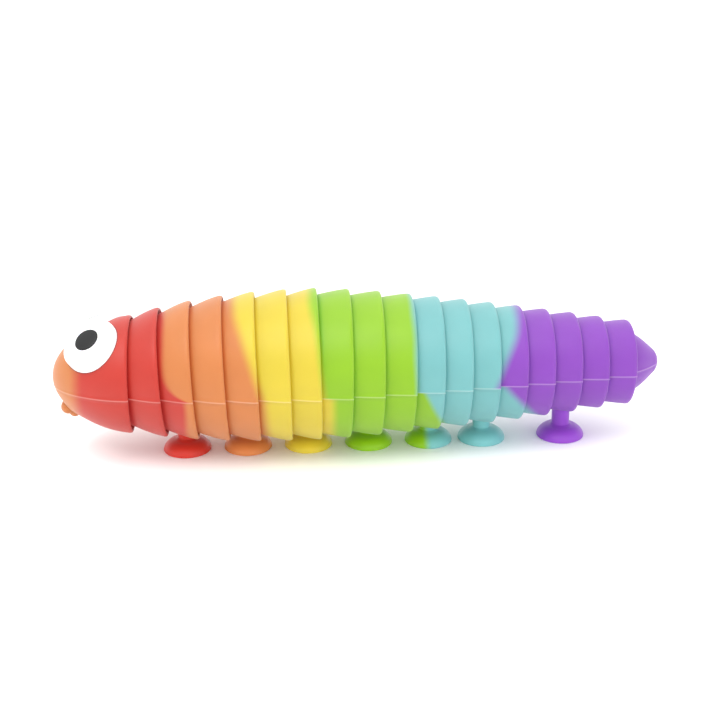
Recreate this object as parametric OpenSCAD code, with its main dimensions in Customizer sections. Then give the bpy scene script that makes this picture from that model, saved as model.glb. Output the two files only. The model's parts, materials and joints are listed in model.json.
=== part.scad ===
/* [Body] */
// Number of rings between the head and the tail
ring_count = 17; // [17:1:17]
// Distance from rim to rim on the front rings
front_pitch = 9.2; // [9.1:0.1:9.3]
// Distance from rim to rim on the rear rings
rear_pitch = 8.2; // [8.1:0.1:8.3]
// Last ring that has the front pitch
last_front_ring = 9; // [9:1:9]
// Length of the head from its rim to the nose
head_length = 24.1; // [23.8:0.1:24.4]
// Length of the tail cone that shows behind the last rim
tail_length = 9.4; // [9.2:0.1:9.8]
// Height of the parting plane above the floor
parting_z = 23.6; // [23.4:0.1:24]

/* [Ring section] */
// Rim radius at the widest ring
peak_radius = 22.9; // [22.5:0.1:23.2]
// Rim radius of the head
head_radius = 17.7; // [17.5:0.1:18]
// Rim radius of the last ring
tail_radius = 13; // [12.8:0.1:13.3]
// Rise of the section centre over the parting plane at the widest ring
peak_rise = 2.7; // [2.4:0.1:2.9]
// Step from a rim down to the next ring
rim_step = 2; // [1.9:0.05:2.1]
// Thickness of the lip at a rim
lip_thickness = 1; // [0.9:0.05:1.1]
// Wall of a ring away from its lip
wall = 1.5; // [1.4:0.05:1.6]
// Length of each ring that hides under the lip in front
tuck = 4.7; // [4.5:0.1:4.8]
// Part of the bottom radius that the flat belly keeps
belly_share = 0.93; // [0.92:0.01:0.94]

/* [Joints] */
// Half size of a link's block
block_half = 2.5; // [2.4:0.1:2.5]
// Radius of a link's stubs
stub_radius = 1.1; // [1:0.05:1.15]
// Clearance around a stub
stub_play = 0.05; // [0.03:0.01:0.08]
// Inner face of a lug or prong, from the pivot
arm_inner = 2.8; // [2.75:0.05:2.9]
// Outer face of a lug or prong, from the pivot
arm_outer = 4.6; // [4.5:0.1:4.7]
// Half width of a lug or prong
arm_half = 1.9; // [1.8:0.1:2]
// Free space from a pivot to the plates beside it
plate_gap = 3.1; // [3.1:0.05:3.15]
// Radius of a hub plate
plate_radius = 6; // [5.9:0.1:6.2]

/* [Suction cups] */
// Radius of a cup's rim
cup_radius = 7.25; // [7:0.05:7.4]
// Height of a cup's bell
cup_height = 3.6; // [3.4:0.1:3.8]
// Depth of the hollow under a cup
cup_hollow = 2.3; // [2:0.1:2.4]
// Radius of a cup's stem
cup_stem = 2.7; // [2.6:0.1:2.8]
// Radius of the plug that holds a cup in the belly wall
cup_plug = 2.2; // [2.1:0.1:2.3]

/* [Eyes] */
// Radius of an eye
eye_radius = 8.4; // [8.2:0.1:8.6]
// Height of an eye's dome over its edge
eye_dome = 2.2; // [2:0.1:2.4]
// Depth of the seat of an eye in the head
eye_seat = 0.7; // [0.6:0.05:0.8]
// Radius of a pupil
pupil_radius = 3.65; // [3.5:0.05:3.8]

/* [Hidden] */
$fn = 64;
far = 80;
profile_steps = 7;
// Colours from head to tail
red = "#e45048";
orange = "#f0965f";
yellow = "#f5e15a";
green = "#aae228";
cyan = "#91d7dc";
purple = "#a55fdc";

// Rings that carry a suction cup, with each cup's place behind the rim in front
cup_rings = [2, 4, 6, 8, 10, 12, 15];
cup_setback = 5;
cup_count = len(cup_rings);

// Shape of a ring: slope of its hidden front, power of its dome and rounding of its lip
tuck_slope = 0.36;
dome_power = 1.35;
lip_round = 0.5;
// Floor of the shell under the hub, and the front wall that joins the shell to the funnel
belly_wall = 1.2;
flange = 1.3;
neck_radius = 6.2;
neck_wall = 1.2;
funnel_wall = 0.7;
neck_setback = 0.5;
// The head's lip and the tail's start, inside the rims next to them
head_step = 1.9;
tail_step = 3.4;

// Head: height of the nose over the parting plane, bluntness, hollow behind and slope of the chin
nose_rise = 1.85;
head_power = 1.5;
head_steps = 14;
head_cavity = 7;
head_column = plate_radius - 0.6;
chin_angle = 8;
// Mouth: two capsules, each [behind the first, above the lower one, radius], on a short neck
lips = [[0, 1.1, 2.2], [2.1, 0, 2]];
mouth_setback = 3.6;
mouth_z = 14.6;
mouth_half = 1.2;
mouth_neck = 1.9;
// Eyes: middle of the edge, turns that point the pole up, forward and outward, and depths
eye_setback = 12.6;
eye_y = 7.6;
eye_z = 38;
eye_tilt = 37;
eye_turn = 52;
eye_depth = 4.6;
eye_gap = 0.05;
eye_rim_margin = 0.6;
pupil_depth = 1.2;
pupil_proud = 0.15;
// Tail: tip, its rounding, the part under the last lip and the floor of its hollow
tail_tip_radius = 4.6;
tail_tip_round = 1.8;
tail_tuck = 2.5;
tail_floor_radius = 5.6;
// Fine sizes of a cup
cup_lip = 0.9;
cup_edge = 0.4;

// Radius of the sphere that an eye's dome is cut from
dome_radius = (eye_radius * eye_radius + eye_dome * eye_dome) / (2 * eye_dome);

// Rim places: the head's rim is number 0, and nose and tail lie at equal distances from the origin
rings_length = front_pitch * last_front_ring + rear_pitch * (ring_count - last_front_ring);
rim_0 = (head_length - tail_length - rings_length) / 2;
function rim_x(k) =
    rim_0 + front_pitch * min(k, last_front_ring) + rear_pitch * max(k - last_front_ring, 0);
peak_x = rim_x(6);
nose_x = rim_0 - head_length;
tail_x = rim_x(ring_count) + tail_length;

// A value that falls from its peak to its end values by a power of the distance
function fall(x, peak, front, rear, front_power, rear_power) =
    x < peak_x
        ? peak - (peak - front) * pow((peak_x - x) / (peak_x - rim_0), front_power)
        : peak - (peak - rear) * pow((x - peak_x) / (rim_x(ring_count) - peak_x), rear_power);
function rim_radius(k) = fall(rim_x(k), peak_radius, head_radius, tail_radius, 2.4, 1.35);
function rim_rise(k) = fall(rim_x(k), peak_rise, 1.45, -0.2, 2, 1.1);
function belly_drop(k) = belly_share * (rim_radius(k) - rim_rise(k));
// The head's lip is thinner, and the tail cone starts well inside the last lip
function step_at(k) = k == 0 ? head_step : k == ring_count ? tail_step : rim_step;
// Distance of a pivot behind the rim in front of it, shorter where the tail narrows
function pivot_back(k) = 5 - 0.5 * max(k - 10, 0);
function pivot_x(k) = rim_x(k) + pivot_back(k);

// Outer radius of ring k at the share t from the rim in front (0) to its own (1)
function skin_radius(k, t) =
    let (start = rim_radius(k - 1) - step_at(k - 1))
        t < 0 ? start + t * rim_pitch(k) * tuck_slope
              : start + (rim_radius(k) - start) * (1 - pow(1 - t, dome_power));
function rim_pitch(k) = rim_x(k) - rim_x(k - 1);

function piece_name(prefix, k) = str(prefix, k < 10 ? "_0" : "_", k);
function ring_colour(k) =
    k < 2 ? red : k < 4 ? orange : k < 7 ? yellow : k < 10 ? green : k < 13 ? cyan : purple;

// Turns a profile of [x, radius] points round the ring's own axis, which joins the section centres of two rims
module ring_lathe(k, points) {
    rise = rim_rise(k) - rim_rise(k - 1);
    translate([rim_x(k - 1), 0, parting_z + rim_rise(k - 1)])
        rotate([0, -atan(rise / rim_pitch(k)), 0])
            rotate([0, 90, 0])
                rotate_extrude($fn = 96)
                    polygon([for (p = points) [p[1], p[0] - rim_x(k - 1)]]);
}

// The space above the flat belly of ring k, moved up by a wall
module above_belly(k, up) {
    front_z = parting_z - belly_drop(k - 1) + step_at(k - 1) + up;
    rear_z = parting_z - belly_drop(k) + up;
    translate([rim_x(k), 0, rear_z])
        rotate([0, atan((front_z - rear_z) / rim_pitch(k)), 0])
            translate([-far, -far / 2, 0]) cube([2 * far, far, far]);
}

// Outer half of a ring's profile from the hidden front edge to the lip
function outer_points(k) = concat(
    [[rim_x(k - 1) - tuck, skin_radius(k, -tuck / rim_pitch(k))]],
    [for (i = [0:profile_steps])
        let (t = i / profile_steps * (1 - lip_round / rim_pitch(k)))
            [rim_x(k - 1) + t * rim_pitch(k), skin_radius(k, t)]],
    [[rim_x(k), rim_radius(k) - lip_round]]
);

// Inner half of the profile: a thin lip and a thicker wall
function inner_points(k) = [
    [rim_x(k), rim_radius(k) - lip_thickness],
    for (i = [profile_steps:-1:0])
        let (t = i / profile_steps * 0.8)
            [rim_x(k - 1) + t * rim_pitch(k), skin_radius(k, t) - wall],
    [rim_x(k - 1) - tuck, skin_radius(k, -tuck / rim_pitch(k)) - wall]
];

// Silicone shell of a ring, open at both ends
module ring_shell(k) {
    difference() {
        intersection() {
            ring_lathe(k, concat(outer_points(k), [[rim_x(k), 0], [rim_x(k - 1) - tuck, 0]]));
            above_belly(k, 0);
        }
        intersection() {
            ring_lathe(k, concat(
                inner_points(k),
                [[rim_x(k - 1) - tuck - 1, skin_radius(k, -tuck / rim_pitch(k)) - wall]],
                [[rim_x(k - 1) - tuck - 1, 0], [rim_x(k) + 1, 0],
                 [rim_x(k) + 1, rim_radius(k) - lip_thickness]]
            ));
            above_belly(k, belly_wall);
        }
    }
}

// Middle of the hub plate of a piece that has a pivot in front and a pivot behind
function plate_x(k) = (pivot_x(k - 1) + pivot_x(k)) / 2;
function plate_half(k) = (pivot_x(k) - pivot_x(k - 1)) / 2 - plate_gap;

// Distance of the flat belly from the parting plane at the hidden front edge of ring k
function front_drop(k) =
    let (start = belly_drop(k - 1) - step_at(k - 1))
        start - (belly_drop(k) - start) * tuck / rim_pitch(k);

// Front wall and funnel from the shell's front edge back to the hub plate
module ring_web(k) {
    front = rim_x(k - 1) - tuck;
    neck = pivot_x(k - 1) - neck_setback;
    edge = min(front_drop(k) - 1, skin_radius(k, -tuck / rim_pitch(k)) - 1);
    outer = skin_radius(k, 0) + 3;
    intersection() {
        translate([0, 0, parting_z]) rotate([0, 90, 0])
            rotate_extrude($fn = 96)
                polygon([
                    [edge, front], [outer, front], [outer, front + flange], [edge + 0.2, front + flange],
                    [neck_radius + neck_wall, neck], [plate_radius, plate_x(k) + plate_half(k)],
                    [plate_radius - funnel_wall, plate_x(k) + plate_half(k)],
                    [plate_radius - funnel_wall, plate_x(k) - plate_half(k)], [neck_radius, neck]
                ]);
        ring_lathe(k, concat(outer_points(k), [[rim_x(k), 0], [front, 0]]));
        above_belly(k, 0);
    }
}

// A flat arm with a round end at the pivot, bored for a stub
module arm(reach) {
    difference() {
        union() {
            translate([0, 0, arm_inner]) cylinder(r = arm_half, h = arm_outer - arm_inner);
            translate([0, -arm_half, arm_inner]) cube([reach, 2 * arm_half, arm_outer - arm_inner]);
        }
        translate([0, 0, arm_inner - 1]) cylinder(r = stub_radius + stub_play, h = arm_outer - arm_inner + 2);
    }
}

// The two arms of a piece at one pivot; turn 90 lays them left and right
module arm_pair(x, turn, direction) {
    for (side = [0, 180])
        translate([x, 0, parting_z]) rotate([turn + side, 0, 0])
            mirror([direction < 0 ? 1 : 0, 0, 0]) arm(plate_gap + 0.3);
}

module hub_plate(x, half) {
    translate([x - half, 0, parting_z]) rotate([0, 90, 0]) cylinder(r = plate_radius, h = 2 * half);
}

module ring(k) {
    color(ring_colour(k)) difference() {
        union() {
            ring_shell(k);
            ring_web(k);
            hub_plate(plate_x(k), plate_half(k));
            arm_pair(pivot_x(k - 1), 90, 1);
            arm_pair(pivot_x(k), 0, -1);
        }
        for (r = cup_rings)
            if (r == k) translate([cup_x(k), 0, 0]) cylinder(r = cup_plug, h = parting_z - plate_radius - 2);
    }
}

// Hard cross that joins two pieces: upright stubs for the piece in front, level ones for the piece behind
module link(k) {
    color("#d8d8d8") translate([pivot_x(k), 0, parting_z]) {
        cube(2 * block_half, center = true);
        cylinder(r = stub_radius, h = 2 * arm_outer, center = true);
        rotate([90, 0, 0]) cylinder(r = stub_radius, h = 2 * arm_outer, center = true);
    }
}

function cup_x(k) = rim_x(k - 1) + cup_setback;

// Bell with a hollow below, a stem up to the belly and a plug through the belly wall
module suction_cup(k) {
    color(ring_colour(k)) translate([cup_x(k), 0, 0]) {
        difference() {
            rotate_extrude($fn = 96)
                polygon(concat(
                    [[0, 0], [cup_radius - cup_edge, 0]],
                    [for (i = [0:profile_steps])
                        let (a = 90 * i / profile_steps)
                            [cup_stem + (cup_radius - cup_stem) * cos(a),
                             cup_edge + (cup_height - cup_edge) * pow(sin(a), 1.3)]],
                    [[0, cup_height]]
                ));
            rotate_extrude($fn = 96)
                polygon([for (i = [0:profile_steps])
                    let (a = 90 * i / profile_steps)
                        [(cup_radius - cup_lip) * cos(a), cup_hollow * sin(a)],
                    [0, 0]]);
        }
        intersection() {
            translate([0, 0, cup_hollow + 0.5]) cylinder(r = cup_stem, h = parting_z / 2);
            translate([-cup_x(k), 0, 0]) below_belly(k, 0);
        }
        intersection() {
            translate([0, 0, cup_hollow + 0.5]) cylinder(r = cup_plug, h = parting_z / 2);
            translate([-cup_x(k), 0, 0]) below_belly(k, belly_wall);
        }
    }
}

// The space below the flat belly of ring k, moved up by a wall
module below_belly(k, up) {
    difference() {
        translate([cup_x(k) - far / 4, -far / 4, 0]) cube([far / 2, far / 2, parting_z]);
        above_belly(k, up);
    }
}

// The head's axis rises from the rim centre to the nose
head_tilt = atan((nose_rise - rim_rise(0)) / head_length);
function head_skin(u) = head_radius * sqrt(1 - pow(u, head_power));

module head_lathe(points) {
    translate([rim_0, 0, parting_z + rim_rise(0)])
        rotate([0, head_tilt, 0])
            rotate([0, 90, 0]) rotate_extrude($fn = 96) polygon([for (p = points) [p[1], -p[0]]]);
}

function head_outline() = concat(
    [[0, 0], [0, head_radius - lip_round], [lip_round, head_radius]],
    [for (i = [1:head_steps])
        let (u = sin(90 * i / head_steps))
            [head_length * u, head_skin(u)]]
);

// A pout of two round lips low on the front of the head
module mouth() {
    mouth_x = nose_x + mouth_setback;
    for (lip = lips)
        translate([mouth_x + lip[0], 0, mouth_z + lip[1]]) {
            rotate([90, 0, 0]) cylinder(r = lip[2], h = 2 * mouth_half, center = true);
            for (side = [-1, 1]) translate([0, side * mouth_half, 0]) sphere(r = lip[2]);
        }
    translate([mouth_x, 0, mouth_z + 0.9]) rotate([0, 75, 0]) cylinder(r = mouth_neck, h = 8);
}

// The head without its eye seats; inset shrinks it all round
module head_blank(inset) {
    intersection() {
        head_lathe([for (p = head_outline()) [p[0], max(p[1] - inset, 0)]]);
        head_belly(0);
    }
}

module head() {
    color(red) difference() {
        union() {
            difference() {
                head_blank(0);
                intersection() {
                    head_lathe([[-1, 0], [-1, head_radius - 0.9], [0, head_radius - 0.9],
                        [head_cavity, head_skin(head_cavity / head_length) - wall],
                        [head_cavity, 0]]);
                    head_belly(belly_wall);
                }
            }
            translate([rim_0 - head_cavity - 1, 0, parting_z]) rotate([0, 90, 0])
                cylinder(r = head_column, h = head_cavity + 1 + pivot_back(0) - plate_gap);
            arm_pair(pivot_x(0), 0, -1);
            mouth();
        }
        difference() {
            for (side = [-1, 1]) eye_place(side) eye_blank(stub_play);
            head_blank(eye_seat + stub_play);
        }
    }
}

// The space above the head's flat belly, which rises toward the chin
module head_belly(up) {
    translate([rim_0, 0, parting_z - belly_drop(0) + up])
        rotate([0, chin_angle, 0]) translate([-far, -far / 2, 0]) cube([2 * far, far, far]);
}

module eye_place(side) {
    translate([nose_x + eye_setback, side * eye_y, eye_z])
        rotate([0, 0, -side * eye_turn]) rotate([0, -eye_tilt, 0])
            children();
}

// A shallow dome on a round column; its back is cut later by the head
module eye_blank(play) {
    intersection() {
        translate([0, 0, -eye_depth]) cylinder(r = eye_radius + play, h = eye_depth + eye_dome + 1, $fn = 96);
        translate([0, 0, eye_dome - dome_radius]) sphere(r = dome_radius, $fn = 128);
    }
}

module eye(side) {
    color("white") difference() {
        eye_place(side) eye_blank(0);
        head_blank(eye_seat);
        // Each eye stops at the middle plane, where the two would meet
        translate([nose_x, side > 0 ? eye_gap - far : -eye_gap, 0]) cube([head_length, far, far]);
        translate([rim_0 - eye_rim_margin, -far / 2, 0]) cube(far);
        eye_place(side) translate([0, 0, eye_dome - pupil_depth]) cylinder(r = pupil_radius, h = pupil_depth + 1);
    }
}

module pupil(side) {
    color("black") eye_place(side) intersection() {
        translate([0, 0, eye_dome - pupil_depth]) cylinder(r = pupil_radius, h = pupil_depth + 1);
        translate([0, 0, eye_dome - dome_radius]) sphere(r = dome_radius + pupil_proud, $fn = 128);
    }
}

module tail() {
    start = rim_x(ring_count);
    radius = tail_radius - step_at(ring_count);
    plate = pivot_x(ring_count) + plate_gap;
    color(purple) union() {
        difference() {
            translate([0, 0, parting_z]) rotate([0, 90, 0]) rotate_extrude($fn = 96)
                polygon([
                    [0, start - tail_tuck], [radius - 1, start - tail_tuck], [radius, start],
                    for (i = [0:profile_steps])
                        let (a = 90 * i / profile_steps)
                            [tail_tip_radius + tail_tip_round * (cos(a) - 1), tail_x + tail_tip_round * (sin(a) - 1)],
                    [0, tail_x]
                ]);
            translate([start - 3, 0, parting_z]) rotate([0, 90, 0])
                cylinder(r1 = radius - 1.2, r2 = tail_floor_radius, h = plate - start + 3);
        }
        arm_pair(pivot_x(ring_count), 90, 1);
    }
}

head();
for (k = [1:ring_count]) ring(k);
tail();
for (k = [0:ring_count]) link(k);
for (n = [1:cup_count]) suction_cup(cup_rings[n - 1]);
eye(1);  // eye_left
eye(-1);  // eye_right
pupil(1);  // pupil_left
pupil(-1);  // pupil_right
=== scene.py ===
"""Soft fidget grub: silicone rings on hidden links, domed eyes, a pout, a cone tail and suction cups."""

from __future__ import annotations

import json
import logging
import math
from dataclasses import dataclass, field
from enum import Enum
from typing import Iterable, Sequence

import bmesh
import bpy
import numpy as np
from mathutils import Matrix, Vector

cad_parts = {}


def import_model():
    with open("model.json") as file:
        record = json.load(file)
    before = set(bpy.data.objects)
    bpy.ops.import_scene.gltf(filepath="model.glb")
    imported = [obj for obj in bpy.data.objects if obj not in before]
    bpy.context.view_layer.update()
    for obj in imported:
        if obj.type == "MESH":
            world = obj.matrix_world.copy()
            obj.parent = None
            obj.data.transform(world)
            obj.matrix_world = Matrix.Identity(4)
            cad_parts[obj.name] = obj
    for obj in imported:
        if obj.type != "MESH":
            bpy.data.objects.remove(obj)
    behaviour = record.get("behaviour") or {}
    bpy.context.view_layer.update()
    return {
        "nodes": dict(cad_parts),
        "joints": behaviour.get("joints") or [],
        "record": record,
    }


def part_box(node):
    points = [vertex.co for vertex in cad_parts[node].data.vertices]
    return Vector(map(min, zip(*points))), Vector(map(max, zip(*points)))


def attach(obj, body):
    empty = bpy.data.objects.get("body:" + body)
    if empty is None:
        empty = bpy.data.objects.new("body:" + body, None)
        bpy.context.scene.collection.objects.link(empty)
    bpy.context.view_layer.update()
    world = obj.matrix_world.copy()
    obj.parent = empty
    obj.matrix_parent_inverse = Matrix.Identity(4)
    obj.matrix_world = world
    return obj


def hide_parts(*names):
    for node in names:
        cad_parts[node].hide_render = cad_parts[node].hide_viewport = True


FOLD_DEPTH = "fold_depth"
LOG = logging.getLogger("grub")
MM = 0.001
RING_COUNT = 17
RING_TAIL = RING_COUNT + 1

Row = Iterable[Sequence[float]]


class Pour(Enum):
    """The silicone colours that are poured side by side into the mould, with the slot that each one takes."""

    RED = ("silicone_red", "#AF281A")
    ORANGE = ("silicone_orange", "#BA7038")
    YELLOW = ("silicone_yellow", "#C2AE2A")
    GREEN = ("silicone_green", "#7DAA01")
    CYAN = ("silicone_cyan", "#67A3A4")
    PURPLE = ("silicone_purple", "#7936A3")

    @property
    def slot(self) -> str:
        """Name of the record's material slot."""
        return self.value[0]

    @property
    def hex(self) -> str:
        """Colour as sRGB hex."""
        return self.value[1]


def pour_of(ring: int) -> Pour:
    """Names the colour that covers most of a ring.

    Args:
        ring: 0 for the head, 1 to 17 for the rings, 18 for the tail.

    Returns:
        The pour.
    """
    limits = ((2, Pour.RED), (4, Pour.ORANGE), (7, Pour.YELLOW), (10, Pour.GREEN), (13, Pour.CYAN))
    return next((pour for limit, pour in limits if ring < limit), Pour.PURPLE)


def linear(hex_colour: str) -> tuple[float, float, float, float]:
    """Turns an sRGB hex colour into linear RGBA.

    Args:
        hex_colour: a colour such as "#FFAA00".

    Returns:
        Linear red, green, blue and an alpha of 1.
    """
    channels = [int(hex_colour[i : i + 2], 16) / 255 for i in (1, 3, 5)]
    toned = [c / 12.92 if c <= 0.04045 else ((c + 0.055) / 1.055) ** 2.4 for c in channels]
    return (toned[0], toned[1], toned[2], 1.0)


def add_node(tree: bpy.types.NodeTree, kind: str, links: dict | None = None,
             **settings: object) -> bpy.types.Node:
    """Adds a node with its settings and links.

    Args:
        tree: the node tree to add to.
        kind: the node's type name.
        links: input name or number to an output socket, or to a plain value.
        **settings: attributes of the node.

    Returns:
        The node.
    """
    node = tree.nodes.new(kind)
    for name, value in settings.items():
        setattr(node, name, value)
    for key, source in (links or {}).items():
        if isinstance(source, bpy.types.NodeSocket):
            tree.links.new(source, node.inputs[key])
        else:
            node.inputs[key].default_value = source
    return node


def blank_material(name: str) -> tuple[bpy.types.Material, bpy.types.NodeTree, bpy.types.Node]:
    """Makes an empty node material with a Principled shader on its output.

    Args:
        name: name of the material.

    Returns:
        The material, its tree and the shader node.
    """
    material = bpy.data.materials.new(name)
    material.use_nodes = True
    tree = material.node_tree
    tree.nodes.clear()
    shader = add_node(tree, "ShaderNodeBsdfPrincipled")
    add_node(tree, "ShaderNodeOutputMaterial", {"Surface": shader.outputs[0]})
    return material, tree, shader


# ---------------------------------------------------------------- finishes


@dataclass(frozen=True)
class PourEdge:
    """Where one pour gives way to the next along the body, in millimetres.

    The edge is at upper_x on the parting plane and leans by upper_lean for each millimetre above it.
    Curl adds a bend close to the plane. The lower mould half has an edge of its own.
    """

    after: Pour
    upper_x: float
    upper_lean: float
    curl: float
    lower_x: float
    lower_lean: float
    blend: float


BODY_EDGES = (
    PourEdge(Pour.RED, -83.0, 0.1, 0.0, -83.0, 0.0, 2.4),
    PourEdge(Pour.ORANGE, -57.2, 0.0, 7.0, -51.6, 0.0, 1.2),
    PourEdge(Pour.YELLOW, -28.6, -0.36, 0.0, -28.2, 0.0, 2.4),
    PourEdge(Pour.GREEN, -11.2, -0.13, 0.0, -8.6, 0.0, 1.8),
    PourEdge(Pour.CYAN, 15.0, 0.0, 0.0, 17.4, 0.55, 1.4),
    PourEdge(Pour.PURPLE, 38.8, 0.45, 0.0, 41.3, 0.85, 2.2),
)
CUP_EDGES = (
    PourEdge(Pour.RED, -83.0, 0.0, 0.0, -83.0, 0.0, 1.0),
    PourEdge(Pour.ORANGE, -44.0, 0.0, 0.0, -44.0, 0.0, 1.0),
    PourEdge(Pour.YELLOW, -26.0, 0.0, 0.0, -26.0, 0.0, 1.0),
    PourEdge(Pour.GREEN, -7.0, 0.0, 0.0, -7.0, 0.0, 1.0),
    PourEdge(Pour.CYAN, 20.5, 0.0, 0.0, 20.5, 0.0, 1.4),
    PourEdge(Pour.PURPLE, 52.0, 0.0, 0.0, 52.0, 0.0, 1.0),
)


@dataclass(frozen=True)
class MouldedSilicone:
    """Platinum-cured silicone rubber, moulded in two halves: matt, soft edged, slightly translucent."""

    name: str
    edges: tuple[PourEdge, ...]
    parting_z_mm: float
    # The nose is poured in this colour, ahead of the first edge
    nose: Pour = Pour.ORANGE
    roughness: float = 0.46
    # Silicone rubber refracts like this, so its sheen is weak
    ior: float = 1.41
    subsurface: float = 0.3
    # Light travels a millimetre or two inside the rubber
    scatter_mm: float = 1.6
    # The pours swirl this far to either side where they meet, over this length
    swirl_mm: float = 1.0
    swirl_length_mm: float = 14.3
    # A curl dies away over this height above the parting plane
    curl_fade_mm: float = 2.3
    # Clouds in the pigment, and how much they lighten or darken it
    cloud_mm: float = 8.33
    cloud_share: float = 0.07
    # The grain of a blasted mould is finer than this and would not show
    grain_mm: float = 0.35
    flash_half_mm: float = 0.28
    flash_colour: str = "#FFF1E8"
    # Painted shade deepens the colour in the folds and a painted glow, an emission, lights them, standing in
    # for light that reaches the folds through coloured rubber
    painted_fold_shade_gamma: float = 1.5
    painted_glow_gamma: float = 1.3
    painted_fold_glow: float = 0.9
    # Thin parts hold less pigment and look paler; for the cups, which lie in the belly's shade, the lift is
    # also painted light
    pale_and_painted_lift: float = 1.0
    eye: Eye | None = None
    # The line of shadow in the seam round an eye
    seam_shadow_mm: float = 0.3
    seam_shadow_colour: str = "#5A1212"

    def build(self) -> bpy.types.Material:
        """Makes the material, with its colours placed by each piece's own coordinates.

        Returns:
            The material.
        """
        material, tree, shader = blank_material(self.name)
        here = add_node(tree, "ShaderNodeTexCoord").outputs["Object"]
        in_mm = add_node(tree, "ShaderNodeVectorMath", {
            0: here, "Scale": 1 / MM,
        }, operation="SCALE").outputs[0]
        noise = add_node(tree, "ShaderNodeTexNoise", {
            "Vector": in_mm, "Scale": 1 / self.swirl_length_mm, "Detail": 0.0,
        })
        swirl = add_node(tree, "ShaderNodeMath", {
            0: noise.outputs[0], 1: 2 * self.swirl_mm, 2: -self.swirl_mm,
        }, operation="MULTIPLY_ADD")
        axes = add_node(tree, "ShaderNodeSeparateXYZ", {0: in_mm}).outputs
        along = add_node(tree, "ShaderNodeMath", {
            0: axes[0], 1: swirl.outputs[0],
        }, operation="ADD").outputs[0]
        rise = add_node(tree, "ShaderNodeMath", {
            0: axes[2], 1: self.parting_z_mm,
        }, operation="SUBTRACT").outputs[0]
        upper = add_node(tree, "ShaderNodeMath", {0: rise, 1: 0.0}, operation="GREATER_THAN").outputs[0]
        colour: bpy.types.NodeSocket | tuple[float, ...] = linear(self.nose.hex)
        for edge in self.edges:
            share = self._edge_share(tree, edge, along, rise, upper)
            colour = add_node(tree, "ShaderNodeMix", {
                0: share, 6: colour, 7: linear(edge.after.hex),
            }, data_type="RGBA").outputs[2]
        # Shade is painted into the folds here
        toned = self._painted_fold_shade(tree, self._cloudy(tree, colour, in_mm))
        if self.eye:
            # A line of shadow is painted round each eye
            toned = self._painted_eye_seam_shadow(tree, toned, in_mm)
        tree.links.new(self._with_flash(tree, toned, rise), shader.inputs["Base Color"])
        # A glow is painted into the folds as emission
        self._painted_fold_glow(tree, shader, toned)
        self._grain(tree, shader, in_mm)
        shader.inputs["Roughness"].default_value = self.roughness
        shader.inputs["IOR"].default_value = self.ior
        shader.inputs["Subsurface Weight"].default_value = self.subsurface
        shader.inputs["Subsurface Radius"].default_value = (1.0, 0.7, 0.6)
        shader.inputs["Subsurface Scale"].default_value = self.scatter_mm * MM
        shader.inputs["Sheen Weight"].default_value = 0.12
        shader.inputs["Sheen Roughness"].default_value = 0.6
        return material

    def _edge_share(
        self,
        tree: bpy.types.NodeTree,
        edge: PourEdge,
        along: bpy.types.NodeSocket,
        rise: bpy.types.NodeSocket,
        upper: bpy.types.NodeSocket,
    ) -> bpy.types.NodeSocket:
        """Gives the share of the later pour at each point near one edge.

        Args:
            tree: the material's tree.
            edge: the edge between two pours.
            along: place along the body in millimetres.
            rise: height over the parting plane in millimetres.
            upper: 1 in the upper mould half, 0 in the lower.

        Returns:
            A socket from 0, the earlier pour, to 1, the later one.
        """
        above = add_node(tree, "ShaderNodeMath", {
            0: rise, 1: -edge.upper_lean, 2: along,
        }, operation="MULTIPLY_ADD").outputs[0]
        above = add_node(tree, "ShaderNodeMath", {0: above, 1: edge.upper_x}, operation="SUBTRACT").outputs[0]
        if edge.curl:
            fade = add_node(tree, "ShaderNodeMath", {
                0: rise, 1: -1 / self.curl_fade_mm,
            }, operation="MULTIPLY").outputs[0]
            decay = add_node(tree, "ShaderNodeMath", {0: math.e, 1: fade}, operation="POWER").outputs[0]
            above = add_node(tree, "ShaderNodeMath", {
                0: decay, 1: -edge.curl, 2: above,
            }, operation="MULTIPLY_ADD").outputs[0]
        below = add_node(tree, "ShaderNodeMath", {
            0: rise, 1: edge.lower_lean, 2: along,
        }, operation="MULTIPLY_ADD").outputs[0]
        below = add_node(tree, "ShaderNodeMath", {0: below, 1: edge.lower_x}, operation="SUBTRACT").outputs[0]
        ahead = add_node(tree, "ShaderNodeMix", {0: upper, 2: below, 3: above}, data_type="FLOAT").outputs[0]
        return add_node(tree, "ShaderNodeMapRange", {
            0: ahead, 1: -edge.blend, 2: edge.blend,
        }, interpolation_type="SMOOTHSTEP").outputs[0]

    def _cloudy(
        self, tree: bpy.types.NodeTree, colour: bpy.types.NodeSocket, in_mm: bpy.types.NodeSocket
    ) -> bpy.types.NodeSocket:
        """Makes the pigment slightly uneven, as hand-mixed silicone is, and scales it by the lift, which is
        paler pigment and, for the cups, painted light.

        Args:
            tree: the material's tree.
            colour: the colour so far.
            in_mm: place in millimetres.

        Returns:
            The clouded colour.
        """
        cloud = add_node(tree, "ShaderNodeTexNoise", {
            "Vector": in_mm, "Scale": 1 / self.cloud_mm, "Detail": 3.0,
        })
        value = add_node(tree, "ShaderNodeMapRange", {
            0: cloud.outputs[0], 3: (1 - self.cloud_share) * self.pale_and_painted_lift, 4: (1 + self.cloud_share) * self.pale_and_painted_lift,
        }).outputs[0]
        return add_node(tree, "ShaderNodeHueSaturation", {"Color": colour, "Value": value}).outputs[0]

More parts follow.
